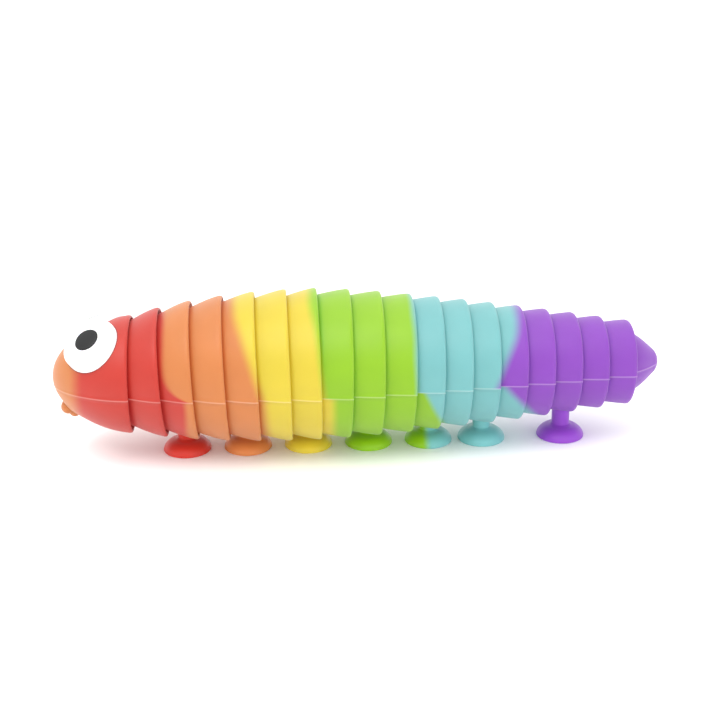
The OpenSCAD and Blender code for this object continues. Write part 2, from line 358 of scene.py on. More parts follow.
    def _painted_fold_shade(self, tree: bpy.types.NodeTree, colour: bpy.types.NodeSocket) -> bpy.types.NodeSocket:
        """Paints shade into the folds by deepening the colour there, standing in for the light that only
        arrives through the coloured rubber.

        Args:
            tree: the material's tree.
            colour: the colour so far.

        Returns:
            The deepened colour.
        """
        depth = add_node(tree, "ShaderNodeAttribute", attribute_name=FOLD_DEPTH).outputs["Fac"]
        deep = add_node(tree, "ShaderNodeGamma", {0: colour, 1: self.painted_fold_shade_gamma}).outputs[0]
        return add_node(tree, "ShaderNodeMix", {0: depth, 6: colour, 7: deep}, data_type="RGBA").outputs[2]

    def _painted_fold_glow(self, tree: bpy.types.NodeTree, shader: bpy.types.Node, colour: bpy.types.NodeSocket) -> None:
        """Paints a glow into the folds as emission, standing in for the light that reaches them through the
        thin, coloured rubber of the lips.

        Args:
            tree: the material's tree.
            shader: the node that glows.
            colour: the rubber's colour.
        """
        depth = add_node(tree, "ShaderNodeAttribute", attribute_name=FOLD_DEPTH).outputs["Fac"]
        strength = add_node(tree, "ShaderNodeMath", {0: depth, 1: self.painted_fold_glow}, operation="MULTIPLY")
        tree.links.new(strength.outputs[0], shader.inputs["Emission Strength"])
        deep = add_node(tree, "ShaderNodeGamma", {0: colour, 1: self.painted_glow_gamma})
        tree.links.new(deep.outputs[0], shader.inputs["Emission Color"])

    def _painted_eye_seam_shadow(
        self, tree: bpy.types.NodeTree, colour: bpy.types.NodeSocket, in_mm: bpy.types.NodeSocket
    ) -> bpy.types.NodeSocket:
        """Paints a thin line of shadow into the seam where an eye is let into the head.

        Args:
            tree: the material's tree.
            colour: the colour so far.
            in_mm: place in millimetres.

        Returns:
            The colour with the line in it.
        """
        axes = add_node(tree, "ShaderNodeSeparateXYZ", {0: in_mm}).outputs
        side = add_node(tree, "ShaderNodeMath", {0: axes[1]}, operation="ABSOLUTE").outputs[0]
        mirrored = add_node(tree, "ShaderNodeCombineXYZ", {0: axes[0], 1: side, 2: axes[2]}).outputs[0]
        away = add_node(tree, "ShaderNodeVectorMath", {
            0: mirrored, 1: self.eye.centre,
        }, operation="SUBTRACT").outputs[0]
        across = add_node(tree, "ShaderNodeVectorMath", {
            0: away, 1: self.eye.normal,
        }, operation="CROSS_PRODUCT").outputs[0]
        distance = add_node(tree, "ShaderNodeVectorMath", {0: across}, operation="LENGTH").outputs["Value"]
        edge = self.eye.radius
        share = add_node(tree, "ShaderNodeMapRange", {
            0: distance, 1: edge + self.seam_shadow_mm * 0.4, 2: edge + self.seam_shadow_mm, 3: 0.75, 4: 0.0,
        }).outputs[0]
        return add_node(tree, "ShaderNodeMix", {
            0: share, 6: colour, 7: linear(self.seam_shadow_colour),
        }, data_type="RGBA").outputs[2]

    def _with_flash(
        self, tree: bpy.types.NodeTree, colour: bpy.types.NodeSocket, rise: bpy.types.NodeSocket
    ) -> bpy.types.NodeSocket:
        """Pales the thin flash along the parting plane, where the rubber is too thin to hold much pigment.

        Args:
            tree: the material's tree.
            colour: the colour so far.
            rise: height over the parting plane in millimetres.

        Returns:
            The colour with the flash in it.
        """
        distance = add_node(tree, "ShaderNodeMath", {0: rise}, operation="ABSOLUTE").outputs[0]
        share = add_node(tree, "ShaderNodeMapRange", {
            0: distance, 1: self.flash_half_mm * 0.4, 2: self.flash_half_mm, 3: 0.12, 4: 0.0,
        }).outputs[0]
        return add_node(tree, "ShaderNodeMix", {
            0: share, 6: colour, 7: linear(self.flash_colour),
        }, data_type="RGBA").outputs[2]

    def _grain(self, tree: bpy.types.NodeTree, shader: bpy.types.Node, in_mm: bpy.types.NodeSocket) -> None:
        """Gives the surface the fine grain of a blasted mould, drawn coarse enough to show.

        Args:
            tree: the material's tree.
            shader: the node whose surface is grained.
            in_mm: place in millimetres.
        """
        grain = add_node(tree, "ShaderNodeTexNoise", {
            "Vector": in_mm, "Scale": 1 / self.grain_mm, "Detail": 2.0,
        })
        bump = add_node(tree, "ShaderNodeBump", {
            "Height": grain.outputs[0], "Strength": 0.12, "Distance": 0.05 * MM,
        })
        tree.links.new(bump.outputs[0], shader.inputs["Normal"])


@dataclass(frozen=True)
class SmoothRubber:
    """Polished-mould silicone for the eyes: one even colour with a soft gloss."""

    name: str
    colour: str
    roughness: float
    subsurface: float
    # A polished mould is never quite flat: its waves are a few millimetres long
    wave_mm: float = 2.5

    def build(self) -> bpy.types.Material:
        """Makes the material, with a faint waviness that breaks up its gloss.

        Returns:
            The material.
        """
        material, tree, shader = blank_material(self.name)
        here = add_node(tree, "ShaderNodeTexCoord").outputs["Object"]
        wave = add_node(tree, "ShaderNodeTexNoise", {
            "Vector": here, "Scale": 1 / (self.wave_mm * MM), "Detail": 1.0,
        })
        tint = add_node(tree, "ShaderNodeMapRange", {0: wave.outputs[0], 3: 0.985, 4: 1.0}).outputs[0]
        even = add_node(tree, "ShaderNodeHueSaturation", {"Color": linear(self.colour), "Value": tint})
        tree.links.new(even.outputs[0], shader.inputs["Base Color"])
        bump = add_node(tree, "ShaderNodeBump",
                        {"Height": wave.outputs[0], "Strength": 0.1, "Distance": 0.03 * MM})
        tree.links.new(bump.outputs[0], shader.inputs["Normal"])
        shader.inputs["Roughness"].default_value = self.roughness
        shader.inputs["IOR"].default_value = 1.41
        shader.inputs["Subsurface Weight"].default_value = self.subsurface
        shader.inputs["Subsurface Scale"].default_value = MM
        return material


@dataclass(frozen=True)
class MouldedAcetal:
    """Natural acetal for the hidden links: milky, hard and slippery."""

    name: str = "moulded_acetal"
    colour: str = "#D9DBD6"
    # Flow marks lie about this far apart
    flow_mm: float = 2.0

    def build(self) -> bpy.types.Material:
        """Makes the material, with the faint flow marks of an injection-moulded part.

        Returns:
            The material.
        """
        material, tree, shader = blank_material(self.name)
        here = add_node(tree, "ShaderNodeTexCoord").outputs["Object"]
        flow = add_node(tree, "ShaderNodeTexNoise", {
            "Vector": here, "Scale": 1 / (self.flow_mm * MM), "Detail": 3.0,
        })
        tint = add_node(tree, "ShaderNodeMapRange", {0: flow.outputs[0], 3: 0.94, 4: 1.02}).outputs[0]
        toned = add_node(tree, "ShaderNodeHueSaturation", {"Color": linear(self.colour), "Value": tint})
        tree.links.new(toned.outputs[0], shader.inputs["Base Color"])
        shader.inputs["Roughness"].default_value = 0.38
        shader.inputs["IOR"].default_value = 1.48
        return material


@dataclass(frozen=True)
class Finishes:
    """The built materials, shared by every piece."""

    body: bpy.types.Material
    cup: bpy.types.Material
    eye: bpy.types.Material
    pupil: bpy.types.Material
    link: bpy.types.Material


# ---------------------------------------------------------------- mesh tools


class Grid:
    """Collects rows of points and joins them into a mesh."""

    def __init__(self) -> None:
        """Starts with no points."""
        self.points: list[tuple[float, float, float]] = []
        self.depths: list[float] = []
        self.faces: list[tuple[int, ...]] = []

    def row(self, points: Row, depth: float = 0.0) -> list[int]:
        """Adds points and returns their numbers.

        Args:
            points: the row's points.
            depth: how far down in a fold the row lies, from 0 to 1.

        Returns:
            The points' numbers.
        """
        start = len(self.points)
        self.points.extend(tuple(float(c) for c in p) for p in points)
        self.depths.extend([depth] * (len(self.points) - start))
        return list(range(start, len(self.points)))

    def join(self, first: list[int], second: list[int]) -> None:
        """Joins two closed rows; a row of one point makes a fan.

        Args:
            first: numbers of the first row.
            second: numbers of the next row, as long as the first, or one point.
        """
        count = max(len(first), len(second))
        for i in range(count):
            j = (i + 1) % count
            if len(second) == 1:
                self.faces.append((first[i], first[j], second[0]))
            elif len(first) == 1:
                self.faces.append((first[0], second[j], second[i]))
            else:
                self.faces.append((first[i], first[j], second[j], second[i]))

    def loft(self, rows: Sequence[Row], closed: bool = False, depths: Sequence[float] = ()) -> None:
        """Adds rows and joins each to the next.

        Args:
            rows: rows of points.
            closed: whether the last row joins the first.
            depths: how far down in a fold each row lies, from 0 to 1, or nothing where none does.
        """
        numbered = [self.row(r, d) for r, d in zip(rows, depths or [0.0] * len(rows))]
        for first, second in zip(numbered, numbered[1:]):
            self.join(first, second)
        if closed:
            self.join(numbered[-1], numbered[0])

    def finish(self, name: str, material: bpy.types.Material, sharp_degrees: float = 50) -> bpy.types.Object:
        """Makes the object, in metres, from points in millimetres.

        Args:
            name: name of the piece.
            material: its finish.
            sharp_degrees: edges that turn more than this stay crisp.

        Returns:
            The new object.
        """
        mesh = bpy.data.meshes.new(name)
        mesh.from_pydata([tuple(c * MM for c in p) for p in self.points], [], self.faces)
        mesh.update()
        # The fold depth sets where shade and a glow are painted in the folds
        fold = mesh.attributes.new(FOLD_DEPTH, "FLOAT", "POINT")
        fold.data.foreach_set("value", self.depths)
        mesh.polygons.foreach_set("use_smooth", [True] * len(mesh.polygons))
        mesh.set_sharp_from_angle(angle=math.radians(sharp_degrees))
        mesh.materials.append(material)
        piece = bpy.data.objects.new(name, mesh)
        bpy.context.scene.collection.objects.link(piece)
        outward(piece)
        return piece


def outward(piece: bpy.types.Object) -> None:
    """Merges points that meet and turns every face of a closed piece outwards.

    Args:
        piece: the piece to repair.
    """
    work = bmesh.new()
    work.from_mesh(piece.data)
    bmesh.ops.remove_doubles(work, verts=work.verts, dist=1e-7)
    bmesh.ops.recalc_face_normals(work, faces=work.faces)
    work.to_mesh(piece.data)
    work.free()


def smooth_floor(value: np.ndarray, floor: np.ndarray, soft: float) -> np.ndarray:
    """Keeps values above a floor, with a rounded corner where the two meet.

    Args:
        value: the values.
        floor: lowest value at each of them.
        soft: how far from the corner its rounding starts.

    Returns:
        The raised values.
    """
    overlap = np.maximum(soft - np.abs(value - floor), 0)
    return np.maximum(value, floor) + overlap**2 / (4 * soft)


def place(piece: bpy.types.Object, body: str, slot: str, *nodes: str) -> None:
    """Lets a piece ride on its body and stand for its CAD nodes, and reports it.

    Args:
        piece: the piece.
        body: name of the body that it moves with.
        slot: name of the record's material slot; not used.
        *nodes: names of the CAD nodes that it stands for.
    """
    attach(piece, body)
    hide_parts(*nodes)
    LOG.info("%s rides on %s, %d faces", piece.name, body, len(piece.data.polygons))


# ---------------------------------------------------------------- the body's form


@dataclass
class BodyForm:
    """Sizes that all the segments share, in millimetres. Rims, radii and pivots are read from the frame.

    The head's box doesn't show how far its rim rises over the parting plane, so head_rise says it.
    """

    step: float = 2.0
    head_step: float = 1.9
    tail_step: float = 3.4
    lip: float = 1.0
    crest: float = 1.2
    crest_drop: float = 0.65
    wall: float = 1.5
    belly_wall: float = 1.2
    tuck: float = 4.7
    tail_tuck: float = 2.5
    tuck_slope: float = 0.36
    dome_power: float = 1.35
    belly_share: float = 0.9
    belly_soft: float = 0.9
    head_rise: float = 1.45
    flash_height: float = 0.2
    flash_half: float = 0.3
    plate_gap: float = 3.1
    plate_radius: float = 6.0
    neck_inner: float = 6.2
    neck_outer: float = 7.4
    arm_inner: float = 2.8
    arm_outer: float = 4.6
    arm_half: float = 1.9
    bore: float = 1.15
    columns_over: int = 24
    columns_under: int = 22
    rim_x: list[float] = field(default_factory=list)
    radius: list[float] = field(default_factory=list)
    rise: list[float] = field(default_factory=list)
    pivot_x: list[float] = field(default_factory=list)
    parting_z: float = 0.0
    nose_x: float = 0.0
    tail_x: float = 0.0

    def read(self, joints: list[dict]) -> None:
        """Reads rims, radii and pivots from the frame.

        Args:
            joints: the frame's joints, whose places are the pivots.
        """
        yaws = sorted((j for j in joints if j["name"].startswith("yaw")), key=lambda j: j["name"])
        self.pivot_x = [j["pos_m"][0] / MM for j in yaws]
        self.parting_z = yaws[0]["pos_m"][2] / MM
        for k in range(RING_TAIL):
            low, high = self.node_box("head" if k == 0 else f"ring_{k:02d}")
            after = self.node_box("tail" if k == RING_COUNT else f"ring_{k + 1:02d}")[0]
            self.rim_x.append(after[0] + (self.tail_tuck if k == RING_COUNT else self.tuck))
            self.radius.append((high[1] - low[1]) / 2)
            self.rise.append(high[2] - self.radius[k] - self.parting_z)
        self.rise[0] = self.head_rise
        self.nose_x = self.node_box("head")[0][0]
        self.tail_x = self.node_box("tail")[1][0]

    @staticmethod
    def node_box(node: str) -> tuple[list[float], list[float]]:
        """Lowest and highest corner of a CAD node, in millimetres."""
        low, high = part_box(node)
        return [c / MM for c in low], [c / MM for c in high]

    def step_at(self, k: int) -> float:
        """Step from rim k down to the next piece."""
        return self.head_step if k == 0 else self.tail_step if k == RING_COUNT else self.step

    def belly_drop(self, k: int) -> float:
        """Depth of the flat belly under the parting plane at rim k."""
        return self.belly_share * (self.radius[k] - self.rise[k])

    def columns(self, ratio: float, radius: float) -> np.ndarray:
        """Angles round a section, closer together at the flash on both sides.

        Args:
            ratio: rise of the section's centre over the parting plane, as a share of its radius.
            radius: radius of the section.

        Returns:
            Angles from the top, for a whole turn.
        """
        side = math.acos(max(min(-ratio, 0.7), -0.7))
        width = min(self.flash_half / max(radius, 0.3), 0.12)
        half = np.concatenate([
            np.linspace(0, side - width, self.columns_over),
            [side - width * 0.45, side, side + width * 0.45],
            np.linspace(side + width, math.pi, self.columns_under),
        ])
        return np.concatenate([half, 2 * math.pi - half[-2:0:-1]])

    def flash(self) -> np.ndarray:
        """Shapes the flash, which stands on the three columns at the parting plane.

        Returns:
            Share of the flash's height at each column.
        """
        crest = (0.75, 1.0, 0.75)
        half = np.zeros(self.columns_over + len(crest) + self.columns_under)
        half[self.columns_over : self.columns_over + len(crest)] = crest
        return np.concatenate([half, half[-2:0:-1]])

    def circle(self, x: float, radius: float) -> np.ndarray:
        """Gives the points of a circle round the pivot line, matched to the sections' columns.

        Args:
            x: place along the body.
            radius: radius of the circle.

        Returns:
            An array of points.
        """
        turn = self.columns(0.05, max(radius, 6.0))
        return np.stack([
            np.full_like(turn, x),
            radius * np.sin(turn),
            self.parting_z + radius * np.cos(turn),
        ], 1)


@dataclass
class Segment:
    """One ring: a domed skin between two rims, with a lip, a funnel web, a plate and four arms."""

    form: BodyForm
    k: int

    @property
    def pitch(self) -> float:
        """Distance between the ring's two rims."""
        return self.form.rim_x[self.k] - self.form.rim_x[self.k - 1]

    @property
    def start_radius(self) -> float:
        """Radius where the ring comes out from under the rim in front."""
        return self.form.radius[self.k - 1] - self.form.step_at(self.k - 1)

    def skin(self, along: float) -> float:
        """Gives the outer radius, which is a cone under the rim in front and a dome behind it.

        Args:
            along: distance behind the rim in front.

        Returns:
            The radius.
        """
        if along < 0:
            return self.start_radius + along * self.form.tuck_slope
        share = min(along / self.pitch, 1)
        dome = 1 - (1 - share) ** self.form.dome_power
        return self.start_radius + (self.form.radius[self.k] - self.start_radius) * dome

    def section(self, along: float, radius: float, up: float, flash: float = 0.0) -> np.ndarray:
        """Points of one closed section.

        Args:
            along: distance behind the rim in front, on the ring's own axis.
            radius: radius of the section.
            up: height of the section's flat over the outside of the belly.
            flash: height of the flash at the parting plane.

        Returns:
            An array of points.
        """
        form, k = self.form, self.k
        front, rear = form.rise[k - 1], form.rise[k]
        tilt = math.atan2(rear - front, self.pitch)
        centre_rise = front + along * math.sin(tilt)
        turn = form.columns(centre_rise / radius, radius)
        swollen = radius + flash * form.flash()
        x = form.rim_x[k - 1] + along * math.cos(tilt) - math.sin(tilt) * swollen * np.cos(turn)
        z = form.parting_z + centre_rise + math.cos(tilt) * swollen * np.cos(turn)
        rear_z = form.parting_z - form.belly_drop(k) + up
        front_z = form.parting_z - form.belly_drop(k - 1) + form.step_at(k - 1) + up
        floor = rear_z + (form.rim_x[k] - x) * (front_z - rear_z) / self.pitch
        return np.stack([x, swollen * np.sin(turn), smooth_floor(z, floor, form.belly_soft)], 1)

    def skin_rows(self) -> list[np.ndarray]:
        """Runs from the hidden front edge over the dome, round the lip and back inside.

        Returns:
            The rows of points.
        """
        form, pitch = self.form, self.pitch
        rows = [
            self.section(-form.tuck, self.skin(-form.tuck) - 0.35, 0.25),
            self.section(-form.tuck + 0.1, self.skin(-form.tuck) - 0.08, 0.05),
        ]
        for along in (-form.tuck + 0.4, -3, -1.5):
            rows.append(self.section(along, self.skin(along), 0, form.flash_height * 0.6))
        for share in (0, 0.06, 0.14, 0.24, 0.36, 0.48, 0.6, 0.72, 0.84, 0.93, 1):
            along = share * (pitch - form.crest)
            rows.append(self.section(along, self.skin(along), 0, form.flash_height))
        # The outside of the lip turns over gently, its inside turns tightly
        for i, angle in enumerate(np.linspace(0, math.pi / 2, 8)[1:]):
            along = pitch - form.crest * (1 - math.sin(angle))
            fall = form.crest_drop * (1 - math.cos(angle))
            nib = 1.0 if i < 3 else 2.2
            rows.append(self.section(along, self.skin(along) - fall, fall, form.flash_height * nib))
        rim = form.radius[self.k]
        inner = form.lip - form.crest_drop
        for angle in np.linspace(0, math.pi / 2, 4)[1:]:
            fall = form.crest_drop + inner * math.sin(angle)
            rows.append(self.section(pitch - inner * (1 - math.cos(angle)), rim - fall, fall))
        for share in (0.86, 0.7, 0.5, 0.3, 0.1):
            rows.append(self.section(share * pitch, self.skin(share * pitch) - form.wall, form.belly_wall))
        inside = -form.tuck + 1.7
        rows.append(self.section(inside, self.skin(inside) - form.wall, form.belly_wall))
        return rows

    def front_drop(self) -> float:
        """Depth of the belly under the parting plane at the hidden front edge."""
        start = self.form.belly_drop(self.k - 1) - self.form.step_at(self.k - 1)
        return start - (self.form.belly_drop(self.k) - start) * self.form.tuck / self.pitch

    def web_rows(self) -> list[np.ndarray]:
        """Runs down the rear face of the front wall and funnel to the plate, and back up the front face.

        Returns:
            The rows of points.
        """
        form, k = self.form, self.k
        front = form.rim_x[k - 1] - form.tuck
        neck = form.pivot_x[k - 1] - 0.5
        middle = (form.pivot_x[k - 1] + form.pivot_x[k]) / 2
        half = (form.pivot_x[k] - form.pivot_x[k - 1]) / 2 - form.plate_gap
        edge = min(self.front_drop() - 1, self.skin(-form.tuck) - 1)
        return [
            self.section(-form.tuck + 1.3, self.skin(-form.tuck) - form.wall - 0.4, form.belly_wall + 0.4),
            form.circle(front + 1.35, edge - 0.2),
            form.circle(neck, form.neck_outer),
            form.circle(neck + 1.5, form.neck_outer - 0.6),
            form.circle(middle + half - 0.2, form.plate_radius),
            form.circle(middle + half, form.plate_radius - 0.2),
            form.circle(middle + half, 2.0),
            form.circle(middle - half, 2.0),
            form.circle(middle - half, form.plate_radius - 0.8),
            form.circle(neck, form.neck_inner),
            form.circle(front + 0.2, edge - 0.3),
            form.circle(front, edge),
        ]

    def build(self, finishes: Finishes) -> None:
        """Makes the ring as one closed surface with its arms, and rides it on its body.

        Args:
            finishes: the built materials.
        """
        grid = Grid()
        rows = self.skin_rows() + self.web_rows()
        # The five tucked rows and the one at the rim in front are deepest, and the next two fade out; these
        # depths set where shade and a glow are painted
        deepest = 1.0 if self.k == 1 else 0.7
        depths = [deepest] * 6 + [deepest * 0.6, deepest * 0.15]
        grid.loft(rows, closed=True, depths=depths + [0.0] * (len(rows) - len(depths)))
        add_arms(grid, self.form, self.form.pivot_x[self.k - 1], upright=False, toward=1)
        add_arms(grid, self.form, self.form.pivot_x[self.k], upright=True, toward=-1)
        name = f"ring_{self.k:02d}"
        piece = grid.finish(f"{name}_silicone", finishes.body)
        place(piece, f"segment_{name}", pour_of(self.k).slot, name)


def add_arms(grid: Grid, form: BodyForm, x: float, upright: bool, toward: int) -> None:
    """Adds the two bored arms that a piece has at one pivot.

    Args:
        grid: the mesh to add to.
        form: the shared sizes.
        x: place of the pivot.
        upright: arms above and below the pivot, not left and right.
        toward: 1 where the arm runs back to its plate, -1 where it runs forward.
    """
    reach = form.plate_gap + 0.3
    angles = np.linspace(0, 2 * math.pi, 40, endpoint=False)
    tiny = 1e-6
    # A square arm towards the plate, with a round end on the other side of the pivot
    outline = [
        min(form.arm_half / max(abs(math.sin(a)), tiny), reach / math.cos(a))
        if math.cos(a) > tiny else form.arm_half
        for a in angles
    ]
    bevel = 0.2
    for side in (-1, 1):
        rows = []
        layers = (
            (form.arm_inner, 0), (form.arm_inner, 1), (form.arm_inner + bevel, 2),
            (form.arm_outer - bevel, 2), (form.arm_outer, 1), (form.arm_outer, 0),
        )
        for out, kind in layers:
            points = []
            for angle, radius in zip(angles, outline):
                r = (form.bore, radius - bevel, radius)[kind]
                forward = toward * r * math.cos(angle)
                across = r * math.sin(angle)
                level = side * out
                y, z = (across, level) if upright else (level, across)
                points.append((x + forward, y, form.parting_z + z))
            rows.append(points)
        grid.loft(rows, closed=True)


# ---------------------------------------------------------------- head


@dataclass
class Head:
    """The head: a blunt dome with a pout, two eye seats and the prongs for the first link."""

    form: BodyForm
    power: float = 1.5
    lip: float = 0.9
    wall: float = 1.5
    cavity: float = 7.0
    nose_rise: float = 1.85
    belly_degrees: float = 8.0
    belly_soft: float = 1.2
    # The pout swells out of the skin round this height, this far behind the nose
    pout_behind: float = 5.2
    pout_height: float = 14.6
    pout_reach: float = 3.6
    pout_swell: float = 1.1

    @property
    def length(self) -> float:
        """Length from rim to nose."""
        return self.form.rim_x[0] - self.form.nose_x

    def skin(self, ahead: float) -> float:
        """Outer radius at a distance ahead of the rim."""
        share = min(max(ahead / self.length, 0), 1)
        return self.form.radius[0] * math.sqrt(max(1 - share**self.power, 0))

    @property
    def tilt(self) -> float:
        """Angle by which the head's axis rises towards the nose."""
        return math.atan((self.nose_rise - self.form.rise[0]) / self.length)

    def outside(self, point: Sequence[float]) -> float:
        """Distance of a point outside the head's skin, along its radius.

        Args:
            point: a point in millimetres.

        Returns:
            The distance, negative inside.
        """
        tilt = self.tilt
        dx, dz = self.form.rim_x[0] - point[0], point[2] - self.form.parting_z - self.form.rise[0]
        ahead = dx * math.cos(tilt) + dz * math.sin(tilt)
        across = -dx * math.sin(tilt) + dz * math.cos(tilt)
        return math.hypot(point[1], across) - self.skin(ahead)

    def section(self, ahead: float, radius: float, up: float, flash: float = 0.0) -> np.ndarray:
        """Points of one closed section.

        Args:
            ahead: distance ahead of the rim, on the head's own axis.
            radius: radius of the section.
            up: height of the section's flat over the outside of the belly.
            flash: height of the flash at the parting plane.

        Returns:
            An array of points.
        """
        form, tilt = self.form, self.tilt
        centre_rise = form.rise[0] + ahead * math.sin(tilt)
        turn = form.columns(centre_rise / max(radius, 0.5), radius)
        swollen = radius + flash * form.flash()
        x = form.rim_x[0] - ahead * math.cos(tilt) + math.sin(tilt) * swollen * np.cos(turn)
        z = form.parting_z + centre_rise + math.cos(tilt) * swollen * np.cos(turn)
        floor = (form.parting_z - form.belly_drop(0) + up
                 + (form.rim_x[0] - x) * math.tan(math.radians(self.belly_degrees)))
        return np.stack([x, swollen * np.sin(turn), smooth_floor(z, floor, self.belly_soft)], 1)

    def skin_rows(self) -> list[np.ndarray]:
        """Runs from the inside of the cavity round the lip and over the head to the nose.

        Returns:
            The rows of points.
        """
        form = self.form
        rows = [self.section(self.cavity, self.skin(self.cavity) - self.wall - 0.3, form.belly_wall + 0.3)]
        for ahead in (self.cavity - 0.5, 5, 3.5, 2):
            rows.append(self.section(ahead, self.skin(ahead) - self.wall + 0.3 * (1 - ahead / self.cavity),
                                     form.belly_wall))
        inner = self.lip - form.crest_drop
        for angle in np.linspace(math.pi / 2, 0, 4)[:-1]:
            fall = form.crest_drop + inner * math.sin(angle)
            rows.append(self.section(inner * (1 - math.cos(angle)), form.radius[0] - fall, fall))
        for i, angle in enumerate(np.linspace(math.pi / 2, 0, 8)[:-1]):
            ahead = form.crest * (1 - math.sin(angle))
            fall = form.crest_drop * (1 - math.cos(angle))
            nib = 2.2 if i < 4 else 1.0
            rows.append(self.section(ahead, self.skin(ahead) - fall, fall, form.flash_height * nib))
        for step in np.linspace(0.05, 1, 56)[:-1]:
            ahead = form.crest + (self.length - form.crest) * math.sin(step * math.pi / 2)
            fade = min(1, (1 - step) * 6)
            rows.append(self.section(ahead, self.skin(ahead), 0, form.flash_height * fade))
        return rows

    def swell(self, rows: list[np.ndarray]) -> None:
        """Swells the skin where the pout grows out of it.

        Args:
            rows: the head's rows, changed in place.
        """
        pout = np.array([self.form.nose_x + self.pout_behind, 0.0, self.pout_height])
        # The first 14 rows are the cavity and the turn of the lip
        for row in rows[14:]:
            reach = np.linalg.norm((row - pout) / np.array([1.0, 1.25, 1.0]), axis=1)
            swell = self.pout_swell * np.exp(-((reach / self.pout_reach) ** 2))
            row[:, 0] -= swell * 0.9
            row[:, 2] -= swell * 0.25

    def build(self, finishes: Finishes) -> None:
        """Makes the head with its pout and prongs, and rides it on its body.

        Args:
            finishes: the built materials.
        """
        form = self.form
        grid = Grid()
        rows = self.skin_rows()
        self.swell(rows)
        nose = [form.rim_x[0] - self.length * math.cos(self.tilt), 0, form.parting_z + self.nose_rise]
        column = form.plate_radius - 0.6
        wall_x = form.rim_x[0] - self.cavity
        plate = form.pivot_x[0] - form.plate_gap
        back = [
            [[plate, 0, form.parting_z]],
            form.circle(plate, column - 0.3),
            form.circle(plate - 0.3, column),
            form.circle(wall_x + 0.6, column),
            form.circle(wall_x, column + 0.6),
        ]
        grid.loft(back + rows + [[nose]])
        add_arms(grid, form, form.pivot_x[0], upright=True, toward=-1)
        self.add_pout(grid)
        piece = grid.finish("head_silicone", finishes.body)
        place(piece, "head_body", Pour.RED.slot, "head")

    def add_pout(self, grid: Grid) -> None:
        """Adds the two round lips of the mouth.

        Args:
            grid: the head's mesh.
        """
        # Place along the body, height, half height and half width of the upper and the lower lip
        lips = ((self.form.nose_x + 3.6, 15.7, 2.2, 3.3), (self.form.nose_x + 5.5, 14.45, 1.95, 3.0))
        for x, z, tall, wide in lips:
            rows = []
            for angle in np.linspace(0, math.pi, 15)[1:-1]:
                y = -wide * math.cos(angle)
                size = tall * math.sin(angle) ** 0.75
                dip = 0.25 * math.exp(-((y / 1.1) ** 2))
                rows.append([
                    (x - (size - dip) * math.cos(t) * 1.02 + 0.12 * y * y * 0.4, y,
                     z + (size - dip) * math.sin(t))
                    for t in np.linspace(0, 2 * math.pi, 28, endpoint=False)
                ])
            grid.loft([[(x + 0.5, -wide, z)]] + rows + [[(x + 0.5, wide, z)]])


# ---------------------------------------------------------------- eyes


